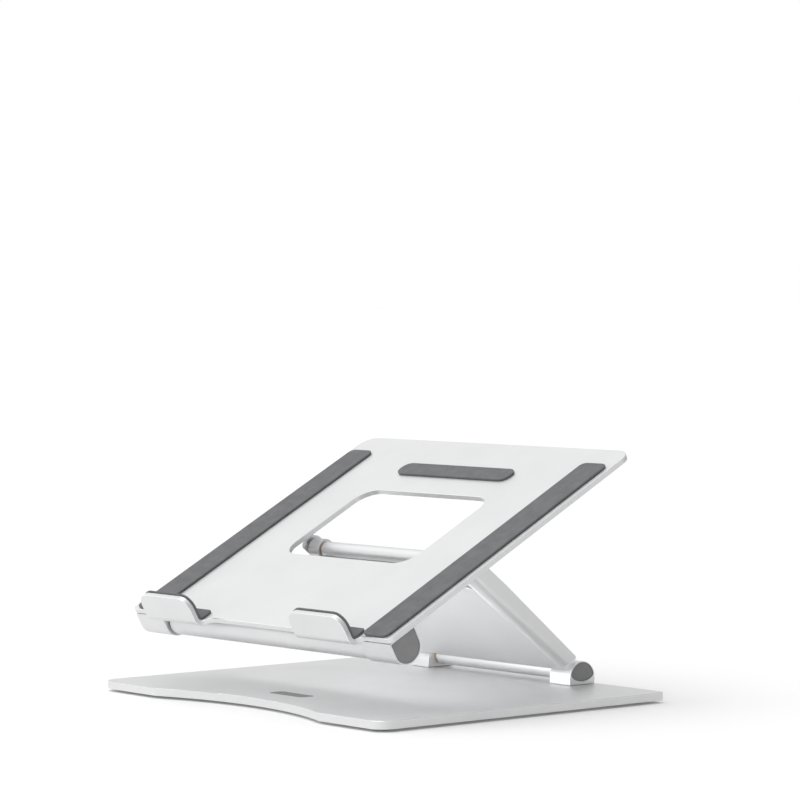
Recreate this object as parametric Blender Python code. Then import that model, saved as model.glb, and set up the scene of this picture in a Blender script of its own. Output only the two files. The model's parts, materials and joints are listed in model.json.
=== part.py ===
"""Folding aluminium laptop stand: base plate, two-section arm with three friction hinges, and a hooked tray.

The stand is modelled in its in-use pose, in metres, with +X to its right, +Y to its rear and +Z up.
Its origin is on the surface it stands on, under the middle of its box. Each moving body is modelled
in its own joint's frame, on an empty, and in that frame the folded stand lies flat.
"""

import math

import bmesh
import bpy
from mathutils import Matrix, Vector

# Driving dimensions, in metres and degrees.
GAP = 0.0003  # between pieces that touch
FOOT_HEIGHT = 0.0012
BASE_BOTTOM = FOOT_HEIGHT + GAP
BASE_THICKNESS = 0.0045
BASE_TOP = BASE_BOTTOM + BASE_THICKNESS
BASE_WIDTH = 0.250
BASE_DEPTH = 0.206
BASE_CORNER_RADIUS = 0.009  # at the front
BASE_REAR_CORNER_RADIUS = 0.004
BASE_RECESS_HALF_CHORD = 0.0735  # the hand recess in the front edge
BASE_RECESS_DEPTH = 0.0145
BADGE_LENGTH = 0.030
BADGE_WIDTH = 0.0100
BADGE_THICKNESS = 0.0006
BADGE_Y = -0.0630

LOWER_AXIS_Y = 0.091
LOWER_AXIS_Z = 0.0127
LOWER_ARM_ANGLE = 37.6  # of the lower arm above the base
LOWER_ARM_LENGTH = 0.1098  # lower hinge axis to knee axis
UPPER_ARM_TILT = 26.0
UPPER_ARM_LENGTH = 0.0876  # knee axis to front hinge axis
TRAY_TILT = 28.0

SHEET = 0.003  # thickness of the arm panels and the tray
SHEET_LOW = -0.0048  # underside of an arm panel in its hinge frame
BEND_RADIUS = 0.0035  # of the sheet's middle, at the arm flanges
RABBET_DEPTH = 0.0020  # in the knee barrel, for the panel's edge
SLOT_DEPTH = 0.0026  # in the front barrel, for the panel's edge

SHAFT_RADIUS = 0.0020
SHAFT_DEPTH = 0.0216  # of a shaft in its barrel
SHAFT_TIP = 0.0009  # of a shaft past its nut
SHAFT_CHAMFER = 0.0005
BORE_RADIUS = SHAFT_RADIUS + GAP
WASHER_RADIUS = 0.0044
WASHER_THICKNESS = 0.0008
NUT_ACROSS_FLATS = 0.0070
NUT_THICKNESS = 0.0032
NUT_POCKET_RADIUS = 0.0048

ARM_BARREL_RADIUS = 0.0048
ARM_BARREL_END = 0.0516
ARM_BLOCK_INNER = ARM_BARREL_END + WASHER_THICKNESS + 2 * GAP
LOWER_BLOCK_OUTER = 0.0700
LOWER_BLOCK_HALF_WIDTH = 0.0094
LOWER_DOME_CENTRE = -0.0028  # below the hinge axis
LOWER_POCKET_FLOOR = 0.0600
KNEE_BLOCK_OUTER = 0.0621
KNEE_POCKET_FLOOR = 0.0570

FRONT_BARREL_RADIUS = 0.0080
FRONT_BARREL_END = 0.0870
FRONT_BLOCK_INNER = FRONT_BARREL_END + WASHER_THICKNESS + 2 * GAP
FRONT_BLOCK_OUTER = 0.1134
FRONT_BLOCK_HALF_WIDTH = 0.0095
FRONT_DOME_HEIGHT = 0.0085
FRONT_POCKET_FLOOR = 0.0990
ARCH_HALF_CHORD = 0.040
ARCH_DEPTH = 0.0018

CAP_RECESS = 0.0016
CAP_THICKNESS = 0.0011
LOWER_CAP_HALF_WIDTH = 0.0088
LOWER_CAP_HALF_HEIGHT = 0.0052
LOWER_CAP_LIFT = 0.0008
LOWER_CAP_MARGIN = 0.0007  # inside the block's dome, at least
FRONT_CAP_MARGIN = 0.0011

SCREW_RADIUS = 0.0014
SCREW_HOLE_RADIUS = SCREW_RADIUS + GAP
SCREW_HEAD_RADIUS = 0.0029
SCREW_HEAD_HOLE_RADIUS = SCREW_HEAD_RADIUS + GAP

PANEL_HALF_WIDTH = 0.0674
TONGUE_HALF_WIDTH = 0.0510
SHOULDER = 0.0106  # from the lower axis to the panel's edge
FLANGE_BEND_END = 0.0096  # from the lower axis to the flange's edge, where its bend ends
FLANGE_TIP = 0.0060  # and at its free side
LEAF_LENGTH = 0.0240  # from the lower axis, of the barrel's leaf behind the panel
LEAF_THICKNESS = 0.0030
FLANGE_LOW_DEPTH = 0.0107
FLANGE_HIGH_DEPTH = 0.0128
PANEL_KNEE_GAP = 0.0073  # from the panel's top edge to the knee axis
FLANGE_OVERRUN = 0.0066  # of the flanges past the knee axis, and their end radius

UPPER_HALF_WIDTH = 0.0780
UPPER_SHOULDER = 0.0135
UPPER_FLANGE_DEPTH = 0.0084
UPPER_TONGUE_HALF_WIDTH = 0.0690

TRAY_HALF_WIDTH = 0.115
TRAY_LOW = 0.0085  # underside of the tray above the front hinge axis
TRAY_TOP = TRAY_LOW + SHEET
TRAY_FRONT = -0.0095
TRAY_REAR = 0.189
TRAY_CORNER_RADIUS = 0.010
HOOK_INNER = 0.0445
HOOK_OUTER = 0.0905
HOOK_FILLET = 0.008
HOOK_BEND_START = -0.0117
HOOK_BEND_RADIUS = 0.0040
HOOK_HEIGHT = 0.0275  # of the hook's top above the front hinge axis
WINDOW_HALF_WIDTH = 0.055
WINDOW_FRONT = 0.060
WINDOW_REAR = 0.132
PAD_THICKNESS = 0.0012
PAD_PROUD = 0.0006  # of the hook pad past the hook's edge
SIDE_PAD_X = 0.1015
SIDE_PAD_WIDTH = 0.020
SIDE_PAD_FRONT = -0.0088
SIDE_PAD_REAR = 0.172
REAR_PAD_HALF_LENGTH = 0.048
REAR_PAD_Y = 0.155
REAR_PAD_WIDTH = 0.012

SIDES = (("left", -1), ("right", 1))


# Materials


def material(name, colour, metallic, roughness):
    made = bpy.data.materials.new(name)
    made.use_nodes = True
    shader = made.node_tree.nodes["Principled BSDF"]
    shader.inputs["Base Color"].default_value = (*colour, 1)
    shader.inputs["Metallic"].default_value = metallic
    shader.inputs["Roughness"].default_value = roughness
    return made


# Outlines


def rounded(corners, steps=6):
    """A closed outline through (u, v, radius) corners, each rounded by an arc tangent to both its sides."""
    points = []
    for index, (u, v, radius) in enumerate(corners):
        here = Vector((u, v))
        if radius == 0:
            points.append(here)
            continue
        before = (Vector(corners[index - 1][:2]) - here).normalized()
        after = (Vector(corners[(index + 1) % len(corners)][:2]) - here).normalized()
        half = before.angle(after) / 2
        centre = here + (before + after).normalized() * (radius / math.sin(half))
        spoke = here + before * (radius / math.tan(half)) - centre
        turn = math.copysign(math.pi - 2 * half, after.cross(before))
        for step in range(steps + 1):
            angle = turn * step / steps
            points.append(centre + Matrix.Rotation(angle, 2) @ spoke)
    return points


def rectangle(half_width, front, rear, radius, centre=0.0):
    return rounded(
        [
            (centre - half_width, front, radius),
            (centre + half_width, front, radius),
            (centre + half_width, rear, radius),
            (centre - half_width, rear, radius),
        ]
    )


def mirrored(corners):
    """The outline whose right half, from bottom to top, is given."""
    return corners + [(-u, v, radius) for u, v, radius in reversed(corners)]


def ellipse(half_width, half_height, centre_v, steps=32):
    turns = [2 * math.pi * step / steps for step in range(steps)]
    return [(half_width * math.cos(turn), centre_v + half_height * math.sin(turn)) for turn in turns]


def domed(half_width, flat, spring, dome_height, steps=16):
    """A flat side at level flat, upright sides to level spring, and an elliptical dome beyond it."""
    side = math.copysign(1, spring - flat)
    points = [(half_width, flat)]
    for step in range(steps + 1):
        turn = math.pi * step / steps
        points.append((half_width * math.cos(turn), spring + side * dome_height * math.sin(turn)))
    points.append((-half_width, flat))
    return points


# Solids


def add_prism(bm, outline, low, high, plane="XY"):
    """Extrudes an outline: one in the XY plane along Z, one in the YZ plane along X."""

    def place(u, v, level):
        return Vector((u, v, level)) if plane == "XY" else Vector((level, u, v))

    floor = bm.faces.new([bm.verts.new(place(u, v, low)) for u, v in outline])
    lifted = bmesh.ops.extrude_face_region(bm, geom=[floor])["geom"]
    moved = [part for part in lifted if isinstance(part, bmesh.types.BMVert)]
    bmesh.ops.translate(bm, vec=place(0, 0, high) - place(0, 0, low), verts=moved)


def add_turned(bm, profile, matrix=None, closed=False, steps=24):
    """Turns a profile of (x, radius) points round the X axis, then places it."""
    verts = [bm.verts.new((x, 0, radius)) for x, radius in profile]
    edges = [bm.edges.new(pair) for pair in zip(verts, verts[1:])]
    if closed:
        edges.append(bm.edges.new((verts[-1], verts[0])))
    known = set(bm.verts) - set(verts)
    bmesh.ops.spin(
        bm,
        geom=verts + edges,
        axis=(1, 0, 0),
        cent=(0, 0, 0),
        angle=2 * math.pi,
        steps=steps,
        use_merge=True,
    )
    made = [vert for vert in bm.verts if vert not in known]
    bmesh.ops.remove_doubles(bm, verts=made, dist=1e-6)
    if matrix is not None:
        made = [vert for vert in bm.verts if vert not in known]
        bmesh.ops.transform(bm, matrix=matrix, verts=made)


def add_ring(bm, inner, outer, start, end, matrix):
    profile = [(start, inner), (end, inner), (end, outer), (start, outer)]
    add_turned(bm, profile, matrix, closed=True, steps=20)


def finished(bm, name, finish, parent=None, smooth_angle=35):
    bm.normal_update()
    bmesh.ops.recalc_face_normals(bm, faces=bm.faces)
    mesh = bpy.data.meshes.new(name)
    bm.to_mesh(mesh)
    bm.free()
    mesh.materials.append(finish)
    mesh.shade_smooth()
    mesh.set_sharp_from_angle(angle=math.radians(smooth_angle))
    made = bpy.data.objects.new(name, mesh)
    bpy.context.scene.collection.objects.link(made)
    made.parent = parent
    return made


def cut(target, bm):
    """Takes the closed shapes in bm out of the target. They must not overlap each other."""
    cutter = finished(bm, target.name + "_cutter", target.data.materials[0], target.parent)
    cutter.hide_render = True
    cutter.display_type = "WIRE"
    modifier = target.modifiers.new("Cut", "BOOLEAN")
    modifier.operation = "DIFFERENCE"
    modifier.object = cutter


def bend(bm, start, radius, middle, along, rise):
    """Bends the flat sheet beyond start up through 90 degrees.

    along and rise are the indices of the flat direction and of the sheet's normal. A negative start
    bends the negative end. middle is the level of the sheet's middle, and radius is the bend's radius there.
    """
    side = math.copysign(1, start)
    arc = radius * math.pi / 2
    for vert in bm.verts:
        past = side * vert.co[along] - abs(start)
        if past <= 0:
            continue
        reach = radius - (vert.co[rise] - middle)
        turn = min(past, arc) / radius
        vert.co[along] = start + side * reach * math.sin(turn)
        vert.co[rise] = middle + radius - reach * math.cos(turn) + max(past - arc, 0)


def score(bm, normal_index, levels):
    """Adds an edge line across a flat sheet at each level, so that it can bend there."""
    normal = Vector((0, 0, 0))
    normal[normal_index] = 1
    for level in levels:
        geometry = bm.verts[:] + bm.edges[:] + bm.faces[:]
        bmesh.ops.bisect_plane(bm, geom=geometry, plane_co=normal * level, plane_no=normal)


def bend_lines(start, radius, steps=6):
    side = math.copysign(1, start)
    arc = radius * math.pi / 2
    return [start + side * arc * step / steps for step in range(steps + 1)]


def empty(name, location, tilt, parent=None):
    made = bpy.data.objects.new(name, None)
    made.location = location
    made.rotation_euler = (math.radians(tilt), 0, 0)
    made.parent = parent
    bpy.context.scene.collection.objects.link(made)
    return made


# Hinge hardware, the same at each of the three hinges


def hinge_hardware(prefix, frame, y, barrel_end, block_inner, pocket_floor):
    """The shafts, washers and nuts of one hinge, on the body whose barrel the shafts are pressed into."""
    centre = Matrix.Translation((0, y, 0))
    corner_radius = NUT_ACROSS_FLATS / math.sqrt(3)
    for label, side in SIDES:
        washer = bmesh.new()
        add_ring(
            washer,
            BORE_RADIUS,
            WASHER_RADIUS,
            side * (barrel_end + GAP),
            side * (block_inner - GAP),
            centre,
        )
        finished(washer, f"{prefix}_friction_washer_{label}", BRONZE, frame)
        start = side * (pocket_floor + GAP)
        end = start + side * NUT_THICKNESS
        nut = bmesh.new()
        add_prism(nut, ellipse(corner_radius, corner_radius, 0, steps=6), start, end, "YZ")
        bmesh.ops.transform(nut, matrix=centre, verts=nut.verts)
        made = finished(nut, f"{prefix}_lock_nut_{label}", STEEL, frame)
        thread = bmesh.new()
        bore = ellipse(BORE_RADIUS, BORE_RADIUS, 0, steps=20)
        add_prism(thread, bore, start - side * 0.001, end + side * 0.001, "YZ")
        bmesh.ops.transform(thread, matrix=centre, verts=thread.verts)
        cut(made, thread)
        shaft = bmesh.new()
        tip = end + side * SHAFT_TIP
        chamfer = side * SHAFT_CHAMFER
        profile = [
            (side * (barrel_end - SHAFT_DEPTH), 0),
            (side * (barrel_end - SHAFT_DEPTH), SHAFT_RADIUS),
            (tip - chamfer, SHAFT_RADIUS),
            (tip, SHAFT_RADIUS - SHAFT_CHAMFER),
            (tip, 0),
        ]
        add_turned(shaft, profile, centre, steps=20)
        finished(shaft, f"{prefix}_shaft_{label}", STEEL, frame)


def barrel(name, frame, y, radius, half_length, slot_side, slot_depth, slot_half_length):
    """A round bar with a blind bore in each end for a shaft, and a slot that grips the panel's edge."""
    bore = half_length - SHAFT_DEPTH - GAP
    bm = bmesh.new()
    profile = [
        (-bore, 0),
        (-bore, BORE_RADIUS),
        (-half_length, BORE_RADIUS),
        (-half_length, radius),
        (half_length, radius),
        (half_length, BORE_RADIUS),
        (bore, BORE_RADIUS),
        (bore, 0),
    ]
    add_turned(bm, profile, Matrix.Translation((0, y, 0)), steps=36)
    made = finished(bm, name, ALUMINIUM, frame)
    slot = bmesh.new()
    low = SHEET_LOW - GAP
    high = SHEET_LOW + SHEET + GAP
    near = y + slot_side * (radius - slot_depth)
    far = y + slot_side * (radius + 0.001)
    outline = [(near, low), (far, low), (far, high), (near, high)]
    add_prism(slot, outline, -slot_half_length, slot_half_length, "YZ")
    cut(made, slot)
    return made


def bore_cutter(side, inner, pocket_floor, outer):
    """The stepped bore of a hinge block, with its nut pocket."""
    bm = bmesh.new()
    add_turned(
        bm,
        [
            (side * (inner - 0.001), 0),
            (side * (inner - 0.001), BORE_RADIUS),
            (side * pocket_floor, BORE_RADIUS),
            (side * pocket_floor, NUT_POCKET_RADIUS),
            (side * (outer + 0.001), NUT_POCKET_RADIUS),
            (side * (outer + 0.001), 0),
        ],
        steps=32,
    )
    return bm


def grown(outline, amount):
    """The outline scaled about its middle so that it is wider and taller by amount on each side."""
    us = [u for u, _ in outline]
    vs = [v for _, v in outline]
    mid_u = (max(us) + min(us)) / 2
    mid_v = (max(vs) + min(vs)) / 2
    scale_u = 1 + 2 * amount / (max(us) - min(us))
    scale_v = 1 + 2 * amount / (max(vs) - min(vs))
    return [(mid_u + (u - mid_u) * scale_u, mid_v + (v - mid_v) * scale_v) for u, v in outline]


def cap_recess_cutter(side, outer, cap_outline):
    bm = bmesh.new()
    recess = grown(cap_outline, GAP)
    add_prism(bm, recess, side * (outer - CAP_RECESS), side * (outer + 0.002), "YZ")
    return bm


def screw(name, frame, x, y, head_outer, head_inner, tip):
    """A flat-head screw along Z, from its head's outer face to its tip."""
    bm = bmesh.new()
    profile = [
        (head_outer, 0),
        (head_outer, SCREW_HEAD_RADIUS),
        (head_inner, SCREW_HEAD_RADIUS),
        (head_inner, SCREW_RADIUS),
        (tip, SCREW_RADIUS),
        (tip, 0),
    ]
    upright = Matrix.Translation((x, y, 0)) @ Matrix.Rotation(math.radians(-90), 4, "Y")
    add_turned(bm, profile, upright, steps=16)
    finished(bm, name, STEEL, frame)


def screw_hole(bm, x, y, head_outer, head_inner, tip):
    """The counterbore and hole that a screw of these levels needs."""
    outward = math.copysign(1, head_outer - head_inner)
    profile = [
        (head_outer + outward * 0.001, 0),
        (head_outer + outward * 0.001, SCREW_HEAD_HOLE_RADIUS),
        (head_inner - outward * GAP, SCREW_HEAD_HOLE_RADIUS),
        (head_inner - outward * GAP, SCREW_HOLE_RADIUS),
        (tip - outward * GAP, SCREW_HOLE_RADIUS),
        (tip - outward * GAP, 0),
    ]
    upright = Matrix.Translation((x, y, 0)) @ Matrix.Rotation(math.radians(-90), 4, "Y")
    add_turned(bm, profile, upright, steps=16)


# Base

LOWER_SCREW_HEAD = (BASE_BOTTOM + 0.0003, BASE_BOTTOM + 0.0020)
LOWER_SCREW_TIP = BASE_TOP + 0.0048
LOWER_SCREW_X = 0.0615
LOWER_SCREW_OFFSET = 0.0070


def lower_screw_places():
    spots = (("front", -LOWER_SCREW_OFFSET), ("rear", LOWER_SCREW_OFFSET))
    return [
        (f"{label}_{place}", side * LOWER_SCREW_X, LOWER_AXIS_Y + offset)
        for label, side in SIDES
        for place, offset in spots
    ]


def base_outline():
    front = -BASE_DEPTH / 2
    chord = BASE_RECESS_HALF_CHORD
    radius = (chord**2 + BASE_RECESS_DEPTH**2) / (2 * BASE_RECESS_DEPTH)
    centre = front + BASE_RECESS_DEPTH - radius
    half_angle = math.asin(chord / radius)
    steps = 28
    recess = []
    for step in range(steps + 1):
        turn = half_angle * (2 * step / steps - 1)
        junction = 0.003 if step in (0, steps) else 0
        recess.append((radius * math.sin(turn), centre + radius * math.cos(turn), junction))
    half = BASE_WIDTH / 2
    rear = BASE_DEPTH / 2
    corners = [(-half, front, BASE_CORNER_RADIUS)] + recess
    corners += [(half, front, BASE_CORNER_RADIUS), (half, rear, BASE_REAR_CORNER_RADIUS)]
    corners.append((-half, rear, BASE_REAR_CORNER_RADIUS))
    return rounded(corners)


def make_base():
    plate = bmesh.new()
    add_prism(plate, base_outline(), BASE_BOTTOM, BASE_TOP)
    plate = finished(plate, "base_plate", ALUMINIUM)
    holes = bmesh.new()
    for _, x, y in lower_screw_places():
        screw_hole(holes, x, y, *LOWER_SCREW_HEAD, LOWER_SCREW_TIP)
    badge_depth = BADGE_THICKNESS + GAP
    badge_recess = rectangle(
        BADGE_LENGTH / 2 + GAP, BADGE_Y - BADGE_WIDTH / 2 - GAP, BADGE_Y + BADGE_WIDTH / 2 + GAP, 0.003
    )
    add_prism(holes, badge_recess, BASE_TOP - badge_depth, BASE_TOP + 0.001)
    cut(plate, holes)
    badge = bmesh.new()
    outline = rectangle(BADGE_LENGTH / 2, BADGE_Y - BADGE_WIDTH / 2, BADGE_Y + BADGE_WIDTH / 2, 0.0027)
    add_prism(badge, outline, BASE_TOP - BADGE_THICKNESS, BASE_TOP)
    finished(badge, "base_badge", DARK_PLASTIC)
    for label, side in SIDES:
        for place, y, half_length in (("front", -0.0905, 0.019), ("rear", 0.0905, 0.016)):
            foot = bmesh.new()
            outline = rectangle(half_length, y - 0.005, y + 0.005, 0.0045, side * 0.098)
            add_prism(foot, outline, 0, FOOT_HEIGHT)
            finished(foot, f"base_foot_{place}_{label}", RUBBER)


def make_lower_blocks():
    flat = BASE_TOP + GAP - LOWER_AXIS_Z
    axis = empty("lower_block_axis", (0, LOWER_AXIS_Y, LOWER_AXIS_Z), 0)
    outline = domed(LOWER_BLOCK_HALF_WIDTH, flat, LOWER_DOME_CENTRE, LOWER_BLOCK_HALF_WIDTH)
    dome_centre = Vector((0, LOWER_DOME_CENTRE))
    cap_outline = []
    for spot in ellipse(LOWER_CAP_HALF_WIDTH, LOWER_CAP_HALF_HEIGHT, LOWER_CAP_LIFT):
        reach = Vector(spot) - dome_centre
        reach.length = min(reach.length, LOWER_BLOCK_HALF_WIDTH - LOWER_CAP_MARGIN)
        cap_outline.append(dome_centre + reach)
    for label, side in SIDES:
        bm = bmesh.new()
        add_prism(bm, outline, side * ARM_BLOCK_INNER, side * LOWER_BLOCK_OUTER, "YZ")
        block = finished(bm, f"lower_hinge_block_{label}", ALUMINIUM, axis)
        cut(block, bore_cutter(side, ARM_BLOCK_INNER, LOWER_POCKET_FLOOR, LOWER_BLOCK_OUTER))
        cut(block, cap_recess_cutter(side, LOWER_BLOCK_OUTER, cap_outline))
        holes = bmesh.new()
        for offset in (-LOWER_SCREW_OFFSET, LOWER_SCREW_OFFSET):
            levels = [level - LOWER_AXIS_Z for level in (*LOWER_SCREW_HEAD, LOWER_SCREW_TIP)]
            screw_hole(holes, side * LOWER_SCREW_X, offset, *levels)
        cut(block, holes)
        bm = bmesh.new()
        face = LOWER_BLOCK_OUTER - 0.0002
        add_prism(bm, cap_outline, side * (face - CAP_THICKNESS), side * face, "YZ")
        finished(bm, f"lower_hinge_cap_{label}", DARK_PLASTIC, axis)
    for label, x, y in lower_screw_places():
        screw(f"lower_block_screw_{label}", None, x, y, *LOWER_SCREW_HEAD, LOWER_SCREW_TIP)


# Lower arm

KNEE_SCREW_HEAD = (SHEET_LOW + 0.0003, SHEET_LOW + 0.0014)
KNEE_SCREW_TIP = 0.0042
KNEE_SCREW_X = 0.0575
KNEE_SCREW_OFFSETS = (("upper", 0.0105), ("lower", 0.0175))  # from the knee axis


def knee_screw_places():
    return [
        (f"{label}_{place}", side * KNEE_SCREW_X, offset - LOWER_ARM_LENGTH)
        for label, side in SIDES
        for place, offset in KNEE_SCREW_OFFSETS
    ]


def flanged_panel(name, frame, outline, half_width, y_scale=1):
    """A flat blank whose two long sides are bent up into flanges."""
    bm = bmesh.new()
    add_prism(bm, outline, SHEET_LOW, SHEET_LOW + SHEET)
    start = half_width - BEND_RADIUS - SHEET / 2
    lines = bend_lines(start, BEND_RADIUS)
    score(bm, 0, lines + [-line for line in lines])
    middle = SHEET_LOW + SHEET / 2
    bend(bm, start, BEND_RADIUS, middle, 0, 2)
    bend(bm, -start, BEND_RADIUS, middle, 0, 2)
    return finished(bm, name, ALUMINIUM, frame)


def blank_edge(half_width, flange_depth):
    """The flat blank's half-width that bends into a flange of this depth."""
    outer_radius = BEND_RADIUS + SHEET / 2
    return half_width - outer_radius + BEND_RADIUS * math.pi / 2 + flange_depth - outer_radius


def lower_panel_outline():
    knee = -LOWER_ARM_LENGTH
    top = knee + PANEL_KNEE_GAP
    low_edge = blank_edge(PANEL_HALF_WIDTH, FLANGE_LOW_DEPTH)
    high_edge = blank_edge(PANEL_HALF_WIDTH, FLANGE_HIGH_DEPTH)
    flange_root = PANEL_HALF_WIDTH - BEND_RADIUS - SHEET / 2 + 0.001
    bend_end = blank_edge(PANEL_HALF_WIDTH, BEND_RADIUS + SHEET / 2)
    right_half = [
        (flange_root, top, 0.0015),
        (flange_root, knee - FLANGE_OVERRUN, 0),
        (high_edge, knee - FLANGE_OVERRUN, FLANGE_OVERRUN),
        (high_edge, -0.076, 0),
        (low_edge, -FLANGE_TIP, 0.0015),
        (bend_end, -FLANGE_BEND_END, 0),
        (flange_root, -SHOULDER, 0),
    ]
    return rounded(mirrored(right_half))


def make_lower_barrel(frame):
    """A round bar and, in one extrusion with it, the leaf that the panel is bonded to."""
    half = LEAF_THICKNESS / 2
    root = math.asin(half / ARM_BARREL_RADIUS)
    steps = 32
    outline = [(-LEAF_LENGTH, half), (-LEAF_LENGTH, -half)]
    for step in range(steps + 1):
        turn = root - math.pi + (2 * math.pi - 2 * root) * step / steps
        outline.append((ARM_BARREL_RADIUS * math.cos(turn), ARM_BARREL_RADIUS * math.sin(turn)))
    bm = bmesh.new()
    add_prism(bm, outline, -ARM_BARREL_END, ARM_BARREL_END, "YZ")
    made = finished(bm, "lower_arm_barrel", ALUMINIUM, frame)
    bores = bmesh.new()
    floor = ARM_BARREL_END - SHAFT_DEPTH - GAP
    for _, side in SIDES:
        bore = ellipse(BORE_RADIUS, BORE_RADIUS, 0, steps=20)
        add_prism(bores, bore, side * floor, side * (ARM_BARREL_END + 0.001), "YZ")
    cut(made, bores)


def make_lower_arm(frame):
    panel = flanged_panel("lower_arm_panel", frame, lower_panel_outline(), PANEL_HALF_WIDTH)
    holes = bmesh.new()
    for _, x, y in knee_screw_places():
        screw_hole(holes, x, y, *KNEE_SCREW_HEAD, KNEE_SCREW_TIP)
    cut(panel, holes)
    make_lower_barrel(frame)
    hinge_hardware("lower", frame, 0, ARM_BARREL_END, ARM_BLOCK_INNER, LOWER_POCKET_FLOOR)
    for label, x, y in knee_screw_places():
        screw(f"knee_block_screw_{label}", frame, x, y, *KNEE_SCREW_HEAD, KNEE_SCREW_TIP)


def make_knee_blocks(frame):
    """Each knee block is a round lug at the knee axis with a foot that lies on the lower panel."""
    foot = SHEET_LOW + SHEET + GAP
    outline = rounded(
        [
            (0.0062, -0.0060, 0.004),
            (0.0062, foot, 0),
            (0.0215, foot, 0),
            (0.0215, 0.0052, 0.0015),
            (0.0062, 0.0062, 0.002),
            (-0.0060, 0.0062, 0.0058),
            (-0.0060, -0.0060, 0.0058),
        ]
    )
    axis = empty("knee_block_axis", (0, -LOWER_ARM_LENGTH, 0), 0, frame)
    for label, side in SIDES:
        bm = bmesh.new()
        add_prism(bm, outline, side * ARM_BLOCK_INNER, side * KNEE_BLOCK_OUTER, "YZ")
        block = finished(bm, f"knee_block_{label}", ALUMINIUM, axis)
        cut(block, bore_cutter(side, ARM_BLOCK_INNER, KNEE_POCKET_FLOOR, KNEE_BLOCK_OUTER))
        holes = bmesh.new()
        for _, offset in KNEE_SCREW_OFFSETS:
            screw_hole(holes, side * KNEE_SCREW_X, offset, *KNEE_SCREW_HEAD, KNEE_SCREW_TIP)
        cut(block, holes)


# Upper arm


def upper_panel_outline():
    front = -UPPER_ARM_LENGTH
    edge = blank_edge(UPPER_HALF_WIDTH, UPPER_FLANGE_DEPTH)
    knee_edge = -(ARM_BARREL_RADIUS - RABBET_DEPTH + GAP)
    front_edge = front + FRONT_BARREL_RADIUS - SLOT_DEPTH + GAP
    right_half = [
        (UPPER_TONGUE_HALF_WIDTH, front_edge, 0),
        (UPPER_TONGUE_HALF_WIDTH, front + 0.0135, 0.0015),
        (edge, front + 0.0135, 0.003),
        (edge, -UPPER_SHOULDER, 0.003),
        (TONGUE_HALF_WIDTH, -UPPER_SHOULDER, 0.0015),
        (TONGUE_HALF_WIDTH, knee_edge, 0),
    ]
    return rounded(mirrored(right_half))


def make_upper_arm(frame):
    flanged_panel("upper_arm_panel", frame, upper_panel_outline(), UPPER_HALF_WIDTH)
    slot_length = TONGUE_HALF_WIDTH + GAP
    barrel("knee_barrel", frame, 0, ARM_BARREL_RADIUS, ARM_BARREL_END, -1, RABBET_DEPTH, slot_length)
    hinge_hardware("knee", frame, 0, ARM_BARREL_END, ARM_BLOCK_INNER, KNEE_POCKET_FLOOR)
    front = -UPPER_ARM_LENGTH
    slot_length = UPPER_TONGUE_HALF_WIDTH + GAP
    made = barrel(
        "front_barrel", frame, front, FRONT_BARREL_RADIUS, FRONT_BARREL_END, 1, SLOT_DEPTH, slot_length
    )
    arch = bmesh.new()
    radius = (ARCH_HALF_CHORD**2 + ARCH_DEPTH**2) / (2 * ARCH_DEPTH)
    centre = -FRONT_BARREL_RADIUS + ARCH_DEPTH - radius
    half_angle = math.asin(ARCH_HALF_CHORD / radius)
    turns = [half_angle * 1.25 * (1 - step / 12) for step in range(25)]
    arc = [(radius * math.sin(turn), centre + radius * math.cos(turn)) for turn in turns]
    below = -FRONT_BARREL_RADIUS - 0.003
    outline = [*arc, (-ARCH_HALF_CHORD * 1.25, below), (ARCH_HALF_CHORD * 1.25, below)]
    add_prism(arch, outline, -front - 0.012, -front + 0.012)
    bmesh.ops.rotate(arch, matrix=Matrix.Rotation(math.radians(90), 3, "X"), verts=arch.verts)
    cut(made, arch)
    hinge_hardware("front", frame, front, FRONT_BARREL_END, FRONT_BLOCK_INNER, FRONT_POCKET_FLOOR)


# Tray

FRONT_SCREW_HEAD = (TRAY_TOP - 0.0003, TRAY_TOP - 0.0014)
FRONT_SCREW_TIP = 0.0033
FRONT_SCREW_SPOTS = (("front", 0.0956, -0.0040), ("rear", 0.1050, 0.0070))


def hook_blank_end():
    """How far forward the flat blank reaches to give a hook of the right height."""
    middle = TRAY_LOW + SHEET / 2
    upright = HOOK_HEIGHT - middle - HOOK_BEND_RADIUS
    return HOOK_BEND_START - HOOK_BEND_RADIUS * math.pi / 2 - upright


def make_tray_plate(frame):
    end = hook_blank_end()
    right_half = [
        (HOOK_INNER, TRAY_FRONT, HOOK_FILLET),
        (HOOK_INNER, end, HOOK_FILLET),
        (HOOK_OUTER, end, HOOK_FILLET),
        (HOOK_OUTER, TRAY_FRONT, HOOK_FILLET / 2),
        (TRAY_HALF_WIDTH, TRAY_FRONT, 0.003),
        (TRAY_HALF_WIDTH, TRAY_REAR, TRAY_CORNER_RADIUS),
    ]
    bm = bmesh.new()
    add_prism(bm, rounded(mirrored(right_half)), TRAY_LOW, TRAY_TOP)
    score(bm, 1, bend_lines(HOOK_BEND_START, HOOK_BEND_RADIUS))
    bend(bm, HOOK_BEND_START, HOOK_BEND_RADIUS, TRAY_LOW + SHEET / 2, 1, 2)
    plate = finished(bm, "tray_plate", ALUMINIUM, frame)
    holes = bmesh.new()
    window = rectangle(WINDOW_HALF_WIDTH, WINDOW_FRONT, WINDOW_REAR, 0.012)
    add_prism(holes, window, TRAY_LOW - 0.001, TRAY_TOP + 0.001)
    for _, side in SIDES:
        for _, x, y in FRONT_SCREW_SPOTS:
            screw_hole(holes, side * x, y, *FRONT_SCREW_HEAD, FRONT_SCREW_TIP)
    cut(plate, holes)


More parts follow.
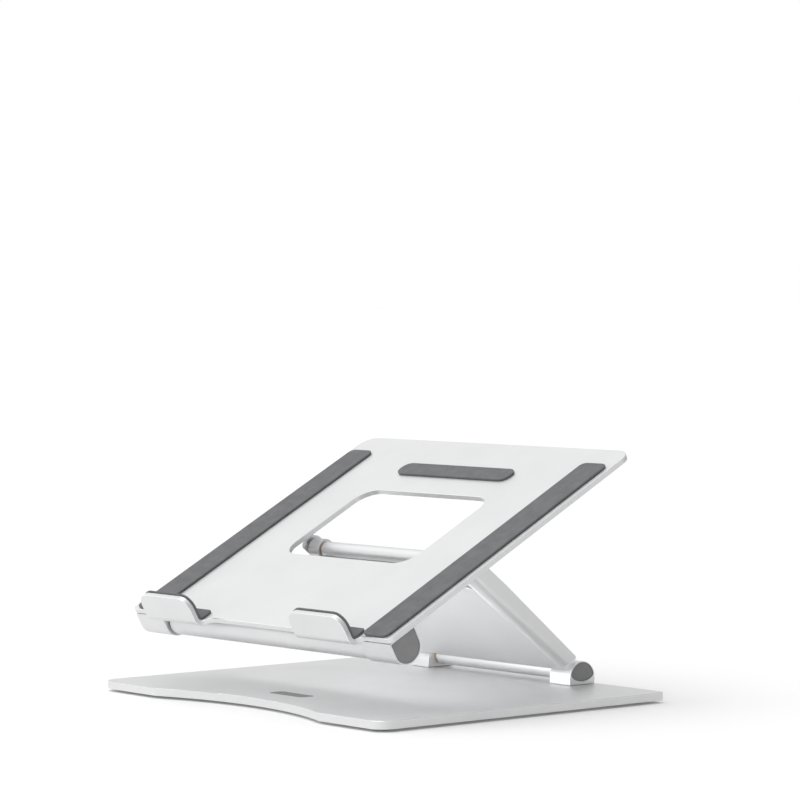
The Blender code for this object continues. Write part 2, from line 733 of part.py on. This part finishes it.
def make_front_blocks(frame):
    flat = TRAY_LOW - GAP
    outline = domed(FRONT_BLOCK_HALF_WIDTH, flat, 0, FRONT_DOME_HEIGHT)
    margin = FRONT_CAP_MARGIN
    cap_outline = domed(
        FRONT_BLOCK_HALF_WIDTH - margin, flat - margin, 0, FRONT_DOME_HEIGHT - margin
    )
    for label, side in SIDES:
        bm = bmesh.new()
        add_prism(bm, outline, side * FRONT_BLOCK_INNER, side * FRONT_BLOCK_OUTER, "YZ")
        block = finished(bm, f"front_hinge_block_{label}", ALUMINIUM, frame)
        cut(block, bore_cutter(side, FRONT_BLOCK_INNER, FRONT_POCKET_FLOOR, FRONT_BLOCK_OUTER))
        cut(block, cap_recess_cutter(side, FRONT_BLOCK_OUTER, cap_outline))
        holes = bmesh.new()
        for _, x, y in FRONT_SCREW_SPOTS:
            screw_hole(holes, side * x, y, *FRONT_SCREW_HEAD, FRONT_SCREW_TIP)
        cut(block, holes)
        bm = bmesh.new()
        face = FRONT_BLOCK_OUTER - 0.0002
        add_prism(bm, cap_outline, side * (face - CAP_THICKNESS), side * face, "YZ")
        finished(bm, f"front_hinge_cap_{label}", DARK_PLASTIC, frame)
        for place, x, y in FRONT_SCREW_SPOTS:
            name = f"front_block_screw_{label}_{place}"
            screw(name, frame, side * x, y, *FRONT_SCREW_HEAD, FRONT_SCREW_TIP)


def make_pads(frame):
    """The hook pads line the hooks' inner faces, and three strips lie on the tray."""
    low = TRAY_TOP + GAP
    high = low + PAD_THICKNESS
    middle = low + PAD_THICKNESS / 2
    radius = TRAY_LOW + SHEET / 2 + HOOK_BEND_RADIUS - middle
    end = HOOK_BEND_START - radius * math.pi / 2 - (HOOK_HEIGHT + PAD_PROUD - middle - radius)
    for label, side in SIDES:
        hook = bmesh.new()
        centre = side * (HOOK_INNER + HOOK_OUTER) / 2
        half_width = (HOOK_OUTER - HOOK_INNER) / 2 + PAD_PROUD
        outline = rounded(
            [
                (centre - half_width, end, HOOK_FILLET + PAD_PROUD),
                (centre + half_width, end, HOOK_FILLET + PAD_PROUD),
                (centre + half_width - 0.001, -0.0040, 0.002),
                (centre - half_width + 0.001, -0.0040, 0.002),
            ]
        )
        add_prism(hook, outline, low, high)
        score(hook, 1, bend_lines(HOOK_BEND_START, radius))
        bend(hook, HOOK_BEND_START, radius, middle, 1, 2)
        finished(hook, f"hook_pad_{label}", SILICONE, frame)
        strip = bmesh.new()
        outline = rectangle(
            SIDE_PAD_WIDTH / 2, SIDE_PAD_FRONT, SIDE_PAD_REAR, 0.004, side * SIDE_PAD_X
        )
        add_prism(strip, outline, low, high)
        finished(strip, f"tray_pad_{label}", SILICONE, frame)
    strip = bmesh.new()
    outline = rectangle(
        REAR_PAD_HALF_LENGTH, REAR_PAD_Y - REAR_PAD_WIDTH / 2, REAR_PAD_Y + REAR_PAD_WIDTH / 2, 0.0055
    )
    add_prism(strip, outline, low, high)
    finished(strip, "tray_pad_rear", SILICONE, frame)


for old in list(bpy.data.objects):
    bpy.data.objects.remove(old)

ALUMINIUM = material("satin_aluminium", (0.80, 0.81, 0.82), 0.9, 0.42)
DARK_PLASTIC = material("dark_grey_plastic", (0.13, 0.13, 0.14), 0.0, 0.5)
SILICONE = material("grey_silicone", (0.22, 0.22, 0.23), 0.0, 0.8)
RUBBER = material("black_rubber", (0.03, 0.03, 0.03), 0.0, 0.9)
STEEL = material("zinc_plated_steel", (0.55, 0.56, 0.58), 1.0, 0.3)
BRONZE = material("friction_bronze", (0.55, 0.42, 0.24), 1.0, 0.4)

lower_axis = empty("lower_hinge_axis", (0, LOWER_AXIS_Y, LOWER_AXIS_Z), -LOWER_ARM_ANGLE)
knee_tilt = LOWER_ARM_ANGLE + UPPER_ARM_TILT
knee_axis = empty("knee_hinge_axis", (0, -LOWER_ARM_LENGTH, 0), knee_tilt, lower_axis)
tray_tilt = TRAY_TILT - UPPER_ARM_TILT
tray_axis = empty("front_hinge_axis", (0, -UPPER_ARM_LENGTH, 0), tray_tilt, knee_axis)

make_base()
make_lower_blocks()
make_lower_arm(lower_axis)
make_knee_blocks(lower_axis)
make_upper_arm(knee_axis)
make_tray_plate(tray_axis)
make_front_blocks(tray_axis)
make_pads(tray_axis)
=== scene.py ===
# %% [markdown]
# # A folding aluminium laptop stand
#
# The stand is cut, bent and machined from aluminium, blasted with fine beads, anodised, and then its rims are
# cut bright. Rubber, silicone and moulded plastic are added at the bench. The engineering model gives every
# piece's place and size; this script gives each piece the rims, sockets and surface that a maker gives it.

import json
import math

import bmesh
import bpy
from mathutils import Matrix, Vector


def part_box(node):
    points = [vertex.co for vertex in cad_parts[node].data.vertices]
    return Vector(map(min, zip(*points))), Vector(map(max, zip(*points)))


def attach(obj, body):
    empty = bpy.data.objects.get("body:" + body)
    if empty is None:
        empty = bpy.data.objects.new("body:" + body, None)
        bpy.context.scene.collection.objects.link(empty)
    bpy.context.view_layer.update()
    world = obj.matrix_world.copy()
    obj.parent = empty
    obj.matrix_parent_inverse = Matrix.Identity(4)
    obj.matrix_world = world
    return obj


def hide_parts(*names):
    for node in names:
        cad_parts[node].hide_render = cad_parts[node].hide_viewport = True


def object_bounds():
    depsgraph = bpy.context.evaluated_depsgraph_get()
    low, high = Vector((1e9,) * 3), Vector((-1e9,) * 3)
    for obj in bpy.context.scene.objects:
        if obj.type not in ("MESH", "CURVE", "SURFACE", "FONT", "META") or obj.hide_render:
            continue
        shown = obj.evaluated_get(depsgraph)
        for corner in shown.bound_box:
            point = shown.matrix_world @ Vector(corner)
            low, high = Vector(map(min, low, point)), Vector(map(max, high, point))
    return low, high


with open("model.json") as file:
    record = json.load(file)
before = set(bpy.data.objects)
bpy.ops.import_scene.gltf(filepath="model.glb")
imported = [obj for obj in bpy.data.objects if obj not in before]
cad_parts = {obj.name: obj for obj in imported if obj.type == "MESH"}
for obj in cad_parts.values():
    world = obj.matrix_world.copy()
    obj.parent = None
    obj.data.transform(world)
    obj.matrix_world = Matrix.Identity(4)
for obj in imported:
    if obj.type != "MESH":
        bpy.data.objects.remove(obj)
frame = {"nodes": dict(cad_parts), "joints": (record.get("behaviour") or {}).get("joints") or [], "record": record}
cad_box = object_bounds()
MM = 0.001
size_mm = [round((high - low) / MM, 1) for low, high in zip(*cad_box)]
print(f"the stand measures {size_mm} mm and has {len(frame['nodes'])} pieces")

# %% [markdown]
# ## Camera
#
# A product view is taken from far away with a long lens, so that parallel edges stay nearly parallel. The
# camera stands a little above the tray, on the stand's right front side, and looks almost level.

# %% Place the camera
camera_data = bpy.data.cameras.new("camera")
camera_data.lens = 154
camera_data.sensor_width = 36
camera_data.clip_end = 100
camera = bpy.data.objects.new("camera", camera_data)
camera.location = (1.4817, -1.2282, 0.2295)
camera.rotation_euler = [math.radians(angle) for angle in (88.15, 0, 50)]
bpy.context.scene.collection.objects.link(camera)
bpy.context.scene.camera = camera
camera_place = [round(value, 3) for value in camera.location]
print(f"camera at {camera_place} with a {camera_data.lens:.0f} mm lens")

# %% [markdown]
# ## Studio
#
# Satin metal shows little more than the light round it. A bright room keeps it pale, and the room is brighter
# on the left and in front, so that the faces that point right are a clear step darker. A distant, wide-angle
# sun lights a floor of any size evenly, which a near area light can't do. A small light panel under the upper
# arm reaches the lower arm and the base, where the other two can't, and it moves with the arm it hangs on.

# %% Light the room
FLOOR_SIZE = 60.0
SUN_STRENGTH = 0.68
SUN_WIDTH = math.radians(55)
BRIGHT_SIDE = Vector((-0.62, -0.72, 0.30))
ROOM_DIM = 0.30
ROOM_BRIGHT = 1.18
FILL_POWER = 0.07
FILL_SIZE = (0.18, 0.020)
FILL_SPREAD = math.radians(110)
FLOOR_TONE = 0.96
FLOOR_GLOW = 0.05
FLOOR_GAP = 0.05 * MM


def room_light():
    world = bpy.data.worlds.new("studio")
    bpy.context.scene.world = world
    world.use_nodes = True
    nodes = world.node_tree.nodes
    links = world.node_tree.links
    background = nodes["Background"]
    background.inputs["Strength"].default_value = 1.0
    place = nodes.new("ShaderNodeTexCoord")
    side = nodes.new("ShaderNodeVectorMath")
    side.operation = "DOT_PRODUCT"
    side.inputs[1].default_value = BRIGHT_SIDE
    fade = nodes.new("ShaderNodeMapRange")
    fade.inputs["From Min"].default_value = -1.0
    fade.inputs["From Max"].default_value = 1.0
    fade.inputs["To Min"].default_value = ROOM_DIM
    fade.inputs["To Max"].default_value = ROOM_BRIGHT
    path = nodes.new("ShaderNodeLightPath")
    seen = nodes.new("ShaderNodeMix")
    seen.inputs["B"].default_value = 1.0
    links.new(place.outputs["Generated"], side.inputs[0])
    links.new(side.outputs["Value"], fade.inputs["Value"])
    links.new(path.outputs["Is Camera Ray"], seen.inputs["Factor"])
    links.new(fade.outputs["Result"], seen.inputs["A"])
    links.new(seen.outputs["Result"], background.inputs["Color"])


def lamp(name, kind, location, target, energy, size):
    data = bpy.data.lights.new(name, kind)
    data.energy = energy
    if kind == "SUN":
        data.angle = size
    else:
        data.shape = "RECTANGLE"
        data.size, data.size_y = size
    made = bpy.data.objects.new(name, data)
    made.location = location
    made.rotation_euler = (Vector(target) - Vector(location)).to_track_quat("-Z", "Y").to_euler()
    bpy.context.scene.collection.objects.link(made)
    return made


def studio_floor():
    bm = bmesh.new()
    bmesh.ops.create_grid(bm, x_segments=2, y_segments=2, size=FLOOR_SIZE / 2)
    mesh = bpy.data.meshes.new("floor")
    bm.to_mesh(mesh)
    bm.free()
    paint = bpy.data.materials.new("floor_paint")
    paint.use_nodes = True
    shader = paint.node_tree.nodes["Principled BSDF"]
    shader.inputs["Base Color"].default_value = (FLOOR_TONE, FLOOR_TONE, FLOOR_TONE, 1)
    shader.inputs["Emission Color"].default_value = (1, 1, 1, 1)
    shader.inputs["Emission Strength"].default_value = FLOOR_GLOW
    shader.inputs["Roughness"].default_value = 0.9
    shader.inputs["Specular IOR Level"].default_value = 0.1
    mesh.materials.append(paint)
    made = bpy.data.objects.new("floor", mesh)
    made.location.z = -FLOOR_GAP
    bpy.context.scene.collection.objects.link(made)


room_light()
studio_floor()
MIDDLE = (0, 0, 0.06)
lamp("key_sun", "SUN", (-0.6, -0.8, 2.4), MIDDLE, SUN_STRENGTH, SUN_WIDTH)
under_arm = lamp("under_arm_fill", "AREA", (0, -0.060, 0.032), (0, 0.06, 0.040), FILL_POWER, FILL_SIZE)
under_arm.data.spread = FILL_SPREAD
under_arm.visible_camera = False
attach(under_arm, "upper_arm")
bpy.context.scene.view_settings.view_transform = "Standard"
print(f"{len(bpy.data.lights)} lamps and a floor {FLOOR_SIZE:.0f} m wide")

# %% [markdown]
# ## Finishes
#
# Each finish starts from one Principled shader, and nodes add what the eye catches close up: the grain's
# height, and small changes of roughness and tone. All patterns are read from the object's own coordinates,
# in metres, so that a grain of 0.2 mm needs a noise scale of a few thousand.


# %% Helpers for finishes
def new_finish(name, metallic, roughness):
    finish = bpy.data.materials.new(name)
    finish.use_nodes = True
    tree = finish.node_tree
    shader = tree.nodes["Principled BSDF"]
    shader.inputs["Metallic"].default_value = metallic
    shader.inputs["Roughness"].default_value = roughness
    return finish, tree, shader


def noise(tree, feature, detail=3.0, stretch=(1, 1, 1), tilt=0.0):
    """Noise whose features are about this many metres, stretched and turned with the surface it is on."""
    place = tree.nodes.new("ShaderNodeTexCoord")
    mapping = tree.nodes.new("ShaderNodeMapping")
    mapping.inputs["Rotation"].default_value = (-tilt, 0, 0)
    mapping.inputs["Scale"].default_value = stretch
    texture = tree.nodes.new("ShaderNodeTexNoise")
    texture.inputs["Scale"].default_value = 1 / feature
    texture.inputs["Detail"].default_value = detail
    tree.links.new(place.outputs["Object"], mapping.inputs["Vector"])
    tree.links.new(mapping.outputs["Vector"], texture.inputs["Vector"])
    return texture.outputs["Fac"]


def vary(tree, pattern, socket, low, high):
    """Lets a number on the shader follow a pattern between two values."""
    spread = tree.nodes.new("ShaderNodeMapRange")
    spread.inputs["From Min"].default_value = 0.3
    spread.inputs["From Max"].default_value = 0.7
    spread.inputs["To Min"].default_value = low
    spread.inputs["To Max"].default_value = high
    tree.links.new(pattern, spread.inputs["Value"])
    tree.links.new(spread.outputs["Result"], socket)


def tone(tree, pattern, shader, dark, light):
    """Lets the base colour follow a pattern between two tones."""
    ramp = tree.nodes.new("ShaderNodeValToRGB")
    ramp.color_ramp.elements[0].position = 0.3
    ramp.color_ramp.elements[0].color = (*dark, 1)
    ramp.color_ramp.elements[1].position = 0.7
    ramp.color_ramp.elements[1].color = (*light, 1)
    tree.links.new(pattern, ramp.inputs["Fac"])
    tree.links.new(ramp.outputs["Color"], shader.inputs["Base Color"])


def relief(tree, shader, layers):
    """Adds bumps, each given as (pattern, height in metres, strength), from the coarsest to the finest."""
    below = None
    for pattern, height, strength in layers:
        bump = tree.nodes.new("ShaderNodeBump")
        bump.inputs["Distance"].default_value = height
        bump.inputs["Strength"].default_value = strength
        tree.links.new(pattern, bump.inputs["Height"])
        if below is not None:
            tree.links.new(below, bump.inputs["Normal"])
        below = bump.outputs["Normal"]
    tree.links.new(below, shader.inputs["Normal"])


# %% [markdown]
# ### Blasted and anodised aluminium
#
# Bead blasting leaves a fine even grain of shallow dents, and anodising turns it satin. From a distance the
# grain is only a soft sheen; close up it sparkles a little. Two grains of different size do both. A broad,
# very weak change of tone keeps a large flat plate from looking like paper.


# %% Satin aluminium
def satin_aluminium():
    finish, tree, shader = new_finish("satin_aluminium", 0.7, 0.42)
    tone(tree, noise(tree, 0.035, 2.0), shader, (0.745, 0.748, 0.753), (0.772, 0.775, 0.780))
    vary(tree, noise(tree, 0.0009, 4.0), shader.inputs["Roughness"], 0.38, 0.46)
    coarse = noise(tree, 0.0006, 2.0)
    grain = noise(tree, 0.00018, 3.0)
    relief(tree, shader, [(coarse, 0.000012, 0.35), (grain, 0.000010, 0.5)])
    return finish


# %% [markdown]
# ### Bright-cut rims
#
# After anodising, a diamond tool takes a thin chamfer off the rims. It leaves a mirror with fine lines that
# run along the plate, so the noise is squeezed across the plate's thickness. The tray's rims are tilted, so
# its lines are turned by the tray's angle.


# %% Bright rims
def bright_rim(name, tilt):
    finish, tree, shader = new_finish(name, 1.0, 0.2)
    lines = noise(tree, 0.004, 4.0, (0.15, 0.15, 18), tilt)
    tone(tree, lines, shader, (0.86, 0.87, 0.88), (0.93, 0.935, 0.94))
    vary(tree, lines, shader.inputs["Roughness"], 0.14, 0.26)
    relief(tree, shader, [(lines, 0.000008, 0.3)])
    return finish


# %% [markdown]
# ### Plastic, silicone and rubber
#
# The end caps are moulded in a spark-eroded tool, which gives a fine matt grain. Silicone is softer and
# slightly cloudy, and it holds dust, so its tone is less even. The feet are a plain black rubber.


# %% Moulded finishes
def moulded(name, dark, light, roughness, grain_size, grain_height):
    finish, tree, shader = new_finish(name, 0.0, roughness)
    tone(tree, noise(tree, 0.006, 5.0), shader, dark, light)
    vary(tree, noise(tree, 0.0012, 3.0), shader.inputs["Roughness"], roughness - 0.06, roughness + 0.06)
    waves = noise(tree, grain_size * 8, 2.0)
    relief(tree, shader, [(waves, grain_height, 0.25), (noise(tree, grain_size, 4.0), grain_height, 0.6)])
    return finish


# %% [markdown]
# ### Steel and bronze
#
# Screws, nuts and shafts are zinc plated, which is a little blue and cloudy. The friction washers are bronze,
# lapped flat and then rubbed by the hinge, so their noise is fine and round.


# %% Hardware finishes
def plated(name, dark, light, low, high):
    finish, tree, shader = new_finish(name, 1.0, (low + high) / 2)
    cloud = noise(tree, 0.0015, 4.0)
    tone(tree, cloud, shader, dark, light)
    vary(tree, cloud, shader.inputs["Roughness"], low, high)
    relief(tree, shader, [(noise(tree, 0.0002, 3.0), 0.000006, 0.3)])
    return finish


TRAY_TILT = math.radians(28)
SATIN = satin_aluminium()
LEVEL_RIM = bright_rim("bright_rim_level", 0.0)
TRAY_RIM = bright_rim("bright_rim_tray", TRAY_TILT)
CAP = moulded("dark_grey_plastic", (0.215, 0.216, 0.221), (0.242, 0.243, 0.248), 0.48, 0.00025, 0.00002)
SILICONE = moulded("grey_silicone", (0.115, 0.117, 0.122), (0.150, 0.152, 0.157), 0.66, 0.0003, 0.00002)
RUBBER = moulded("black_rubber", (0.020, 0.020, 0.021), (0.034, 0.034, 0.035), 0.82, 0.0004, 0.00004)
INLAY = moulded("dark_inlay", (0.150, 0.151, 0.154), (0.180, 0.181, 0.184), 0.40, 0.0002, 0.00001)
ZINC = plated("zinc_plated_steel", (0.56, 0.58, 0.60), (0.66, 0.68, 0.70), 0.24, 0.38)
BRONZE = plated("friction_bronze", (0.50, 0.36, 0.18), (0.60, 0.46, 0.26), 0.28, 0.42)
print(f"{len(bpy.data.materials)} finishes")

# %% [markdown]
# ## Bench tools
#
# The engineering solids arrive as loose triangles with knife-sharp edges. A real rim is never sharp: it is
# chamfered or rounded, and that thin strip is what catches the light. So a copy of each solid is sewn, each
# flat side becomes one face, and then the rims are bevelled with real geometry. The alternative, a bevel in the
# shader, would not be in the mesh.

# %% Sewing, choosing and softening
SEW = 0.002 * MM
FLAT_ANGLE = math.radians(0.4)
RIM_ANGLE = 60


def bench_copy(node):
    """A node's solid as one sewn mesh with each flat side as few faces as possible."""
    bm = bmesh.new()
    bm.from_mesh(frame["nodes"][node].data)
    bmesh.ops.remove_doubles(bm, verts=bm.verts, dist=SEW)
    bmesh.ops.dissolve_limit(bm, angle_limit=FLAT_ANGLE, verts=bm.verts, edges=bm.edges)
    bmesh.ops.recalc_face_normals(bm, faces=bm.faces)
    return bm


def middle(edge):
    return (edge.verts[0].co + edge.verts[1].co) / 2


def rims(bm, angle=RIM_ANGLE, wanted=None):
    """The edges where two faces meet at more than this angle, and for whose middle wanted says yes."""
    found = []
    for edge in bm.edges:
        if len(edge.link_faces) != 2 or edge.calc_face_angle() < math.radians(angle):
            continue
        if wanted is None or wanted(middle(edge)):
            found.append(edge)
    return found


def soften(bm, edges, width, segments, rim_slot=None):
    """Bevels edges and, if asked, gives the new strip another of the piece's finishes."""
    made = bmesh.ops.bevel(
        bm,
        geom=edges,
        offset=width,
        offset_type="OFFSET",
        segments=segments,
        profile=0.5,
        affect="EDGES",
        clamp_overlap=True,
        loop_slide=True,
        material=-1,
    )
    if rim_slot is not None:
        for face in made["faces"]:
            face.material_index = rim_slot


def away_from(nodes, margin):
    """A test that says no inside the upright columns that these nodes stand in."""
    columns = [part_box(node) for node in nodes]

    def wanted(point):
        return not any(
            all(low[axis] - margin < point[axis] < high[axis] + margin for axis in (0, 1))
            for low, high in columns
        )

    return wanted


# %% [markdown]
# A finished piece keeps its place in its mesh, rides on the body of the node it stands for, and hides that
# node. Its flat sides should look flat right up to the bevel, so its normals are weighted by face area.


# %% Handing a piece over
def body_of_node(node):
    bodies = frame["record"]["behaviour"]["bodies"]
    return next(body for body, members in bodies.items() if node in members)


def hand_over(bm, node, finishes, smooth_angle=50):
    bmesh.ops.recalc_face_normals(bm, faces=bm.faces)
    piece_name = f"made_{node}"
    mesh = bpy.data.meshes.new(piece_name)
    bm.to_mesh(mesh)
    bm.free()
    for finish in finishes:
        mesh.materials.append(finish)
    mesh.shade_smooth()
    mesh.set_sharp_from_angle(angle=math.radians(smooth_angle))
    piece = bpy.data.objects.new(piece_name, mesh)
    bpy.context.scene.collection.objects.link(piece)
    weighting = piece.modifiers.new("Flat sides", "WEIGHTED_NORMAL")
    weighting.keep_sharp = True
    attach(piece, body_of_node(node))
    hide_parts(node)
    return piece


SIDES = ("left", "right")
made_pieces = []

# %% [markdown]
# ## Base
#
# The base is a plate cut by laser, then milled round its rim. Its front edge has a shallow curved recess for
# the hand that opens the stand. The rim's bright chamfer is one straight cut, so it has one segment, and its
# corners stay crisp in the shading. The holes under the plate keep their sharp machined edges.

# %% Base plate
BASE_CHAMFER = 0.55 * MM
SCREW_MARGIN = 0.6 * MM
CHAMFER_SHADING = 30


def make_base_plate():
    bm = bench_copy("base_plate")
    screws = [f"lower_block_screw_{side}_{place}" for side in SIDES for place in ("front", "rear")]
    outside = away_from(screws + ["base_badge"], 2 * SCREW_MARGIN)
    soften(bm, rims(bm, wanted=outside), BASE_CHAMFER, 1, 1)
    return hand_over(bm, "base_plate", [SATIN, LEVEL_RIM], CHAMFER_SHADING)


made_pieces.append(make_base_plate())
print(f"base rim chamfer {BASE_CHAMFER / MM:.2f} mm")

# %% [markdown]
# The feet are moulded pads with a rounded rim and a shallow hollow below, which grips a smooth desk. An inset
# of the lower face, pushed up a little, makes the hollow without a Boolean.

# %% Feet and badge
FOOT_RIM = 1.1 * MM
FOOT_HOLLOW = 0.25 * MM
FOOT_ROUND = 0.22 * MM
BADGE_ROUND = 0.12 * MM


def hollow_face(bm, face, rim, depth):
    """Insets a face and pushes its middle into the piece."""
    inward = -face.normal.copy()
    bmesh.ops.inset_region(bm, faces=[face], thickness=rim, use_even_offset=True)
    bmesh.ops.translate(bm, vec=inward * depth, verts=face.verts)


def make_foot(node):
    bm = bench_copy(node)
    bm.faces.ensure_lookup_table()
    lowest = min(bm.faces, key=lambda face: face.calc_center_median().z)
    hollow_face(bm, lowest, FOOT_RIM, FOOT_HOLLOW)
    soften(bm, rims(bm), FOOT_ROUND, 3)
    return hand_over(bm, node, [RUBBER])


def make_badge():
    bm = bench_copy("base_badge")
    soften(bm, rims(bm), BADGE_ROUND, 2)
    return hand_over(bm, "base_badge", [INLAY])


for place in ("front", "rear"):
    for side in SIDES:
        made_pieces.append(make_foot(f"base_foot_{place}_{side}"))
made_pieces.append(make_badge())
print("4 feet and a blank badge")

# %% [markdown]
# ## Hinge blocks
#
# Every hinge block is cut from an extruded bar, so its section is the same along its length, and its two ends
# are chamfered. Only the outline of each end is softened: the screw holes and the nut's pocket are inside,
# and they are left as the drill leaves them.

# %% Lower, knee and front blocks
BLOCK_RIM = 0.5 * MM
POCKET_CLEAR = 5.6 * MM
NEAR = 0.05 * MM


def joint_place(name):
    return Vector(next(joint["pos_m"] for joint in frame["joints"] if joint["name"] == name))


def off_axis(axis_point, clearance):
    """A test that says yes further than this from a hinge's axis."""

    def wanted(point):
        return math.hypot(point.y - axis_point.y, point.z - axis_point.z) > clearance

    return wanted


def on_planes(places):
    """A test that says yes on the upright planes at these distances from the stand's middle."""

    def wanted(point):
        return min(abs(point.x - place) for place in places) < NEAR

    return wanted


def make_block(node, joint):
    bm = bench_copy(node)
    outside_pocket = off_axis(joint_place(joint), POCKET_CLEAR)
    low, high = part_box(node)
    ends = (low[0], high[0])

    on_end = on_planes(ends)
    soften(bm, rims(bm, wanted=lambda point: on_end(point) and outside_pocket(point)), BLOCK_RIM, 3)
    return hand_over(bm, node, [SATIN])


for side in SIDES:
    made_pieces.append(make_block(f"lower_hinge_block_{side}", "lower_hinge"))
    made_pieces.append(make_block(f"knee_block_{side}", "knee_hinge"))
    made_pieces.append(make_block(f"front_hinge_block_{side}", "tray_hinge"))
print(f"6 hinge blocks with {BLOCK_RIM / MM:.1f} mm rims")

# %% [markdown]
# The end caps are pressed into the blocks. Their outer face is dished by a fraction of a millimetre, as a
# moulder does to hide sink marks, and the rim round the dish catches a thin line of light.

# %% End caps
CAP_RIM = 0.55 * MM
CAP_DISH = 0.18 * MM
CAP_ROUND = 0.15 * MM


def make_cap(node):
    bm = bench_copy(node)
    low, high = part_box(node)
    outward = 1 if (low[0] + high[0]) > 0 else -1
    outer = max(bm.faces, key=lambda face: outward * face.calc_center_median().x)
    hollow_face(bm, outer, CAP_RIM, CAP_DISH)
    soften(bm, rims(bm), CAP_ROUND, 3)
    return hand_over(bm, node, [CAP])


for side in SIDES:
    made_pieces.append(make_cap(f"lower_hinge_cap_{side}"))
    made_pieces.append(make_cap(f"front_hinge_cap_{side}"))
print(f"4 caps, dished by {CAP_DISH / MM:.2f} mm")

# %% [markdown]
# ## Arms
#
# Each arm is a folded sheet with its long sides bent up, and it ends in round bars that turn in the hinges.
# The sheet's cut edges are only deburred before blasting, so they are rounded but not bright.

# %% Arm panels and barrels
PANEL_RIM = 0.45 * MM
BARREL_RIM = 0.4 * MM


def make_panel(node, screws):
    bm = bench_copy(node)
    clear_of_holes = away_from(screws, SCREW_MARGIN)
    soften(bm, rims(bm, wanted=clear_of_holes), PANEL_RIM, 3)
    return hand_over(bm, node, [SATIN])


def make_barrel(node):
    bm = bench_copy(node)
    low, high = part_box(node)
    ends = (low[0], high[0])
    soften(bm, rims(bm, wanted=on_planes(ends)), BARREL_RIM, 3)
    return hand_over(bm, node, [SATIN])


knee_screws = [f"knee_block_screw_{side}_{place}" for side in SIDES for place in ("upper", "lower")]
made_pieces.append(make_panel("lower_arm_panel", knee_screws))
made_pieces.append(make_panel("upper_arm_panel", []))
for node in ("lower_arm_barrel", "knee_barrel", "front_barrel"):
    made_pieces.append(make_barrel(node))
print("2 panels and 3 barrels")

# %% [markdown]
# ## Tray
#
# The tray and its two hooks are one sheet. The hooks are bent up from it, and the whole outline, with the
# window, gets the same bright chamfer as the base.

# %% Tray plate
TRAY_CHAMFER = 0.5 * MM


def make_tray():
    bm = bench_copy("tray_plate")
    screws = [f"front_block_screw_{side}_{place}" for side in SIDES for place in ("front", "rear")]
    soften(bm, rims(bm, wanted=away_from(screws, SCREW_MARGIN)), TRAY_CHAMFER, 1, 1)
    return hand_over(bm, "tray_plate", [SATIN, TRAY_RIM], CHAMFER_SHADING)


made_pieces.append(make_tray())

# %% [markdown]
# The silicone strips are cast with round edges, because a sharp silicone edge tears.

# %% Pads
PAD_RIM = 0.4 * MM


def make_pad(node):
    bm = bench_copy(node)
    soften(bm, rims(bm), PAD_RIM, 3)
    return hand_over(bm, node, [SILICONE])


for side in SIDES:
    made_pieces.append(make_pad(f"hook_pad_{side}"))
    made_pieces.append(make_pad(f"tray_pad_{side}"))
made_pieces.append(make_pad("tray_pad_rear"))
print("5 pads")

# %% [markdown]
# ## Hardware
#
# A flat-head screw needs a socket. The head's face is taken off, a hexagon is drawn in its place, and the two
# loops are bridged. The hexagon is then pushed down and filled. This keeps the head one clean mesh.

# %% Screws
SOCKET_RADIUS = 1.35 * MM
SOCKET_DEPTH = 0.9 * MM
HEAD_ROUND = 0.2 * MM
TURNED_SHADING = 35
SCREWS_OF_BLOCK = {"lower": ("front", "rear"), "knee": ("upper", "lower"), "front": ("front", "rear")}


def cut_socket(bm):
    head = max(bm.faces, key=lambda face: face.calc_area())
    outward = head.normal.copy()
    centre = head.calc_center_median()
    rim = list(head.edges)
    bmesh.ops.delete(bm, geom=[head], context="FACES_ONLY")
    place = Matrix.Translation(centre) @ outward.to_track_quat("Z", "Y").to_matrix().to_4x4()
    hexagon = bmesh.ops.create_circle(bm, segments=6, radius=SOCKET_RADIUS, matrix=place)["verts"]
    mouth = list({edge for vert in hexagon for edge in vert.link_edges})
    bmesh.ops.bridge_loops(bm, edges=rim + mouth)
    wall = bmesh.ops.extrude_edge_only(bm, edges=mouth)["geom"]
    bottom = [part for part in wall if isinstance(part, bmesh.types.BMVert)]
    bmesh.ops.translate(bm, vec=-outward * SOCKET_DEPTH, verts=bottom)
    floor_edges = [part for part in wall if isinstance(part, bmesh.types.BMEdge)]
    bmesh.ops.edgeloop_fill(bm, edges=floor_edges)
    return rim


def make_screw(node):
    bm = bench_copy(node)
    rim = cut_socket(bm)
    soften(bm, rim, HEAD_ROUND, 2)
    return hand_over(bm, node, [ZINC], TURNED_SHADING)


for side in SIDES:
    for block, places in SCREWS_OF_BLOCK.items():
        for place in places:
            made_pieces.append(make_screw(f"{block}_block_screw_{side}_{place}"))
print("12 screws with hexagon sockets")

# %% [markdown]
# The shafts, washers and nuts sit inside the hinges and show only at the joints' ends. They are turned parts,
# so they need smooth sides and a small chamfer, and no more.

# %% Shafts, washers and nuts
TURNED_RIM_ANGLE = 65
WASHER_ROUND = 0.08 * MM
NUT_ROUND = 0.25 * MM

for hinge in ("lower", "knee", "front"):
    for side in SIDES:
        for kind, finish, rim_width in (
            ("shaft", ZINC, 0.0),
            ("friction_washer", BRONZE, WASHER_ROUND),
            ("lock_nut", ZINC, NUT_ROUND),
        ):
            node = f"{hinge}_{kind}_{side}"
            bm = bench_copy(node)
            if rim_width:
                soften(bm, rims(bm, TURNED_RIM_ANGLE), rim_width, 2)
            made_pieces.append(hand_over(bm, node, [finish], TURNED_SHADING))
print("18 pieces of hinge hardware")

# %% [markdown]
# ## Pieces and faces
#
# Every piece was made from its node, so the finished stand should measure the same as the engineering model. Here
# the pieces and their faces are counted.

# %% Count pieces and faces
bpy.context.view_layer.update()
faces = sum(len(piece.data.polygons) for piece in made_pieces)
print(f"{len(made_pieces)} pieces with {faces} faces")
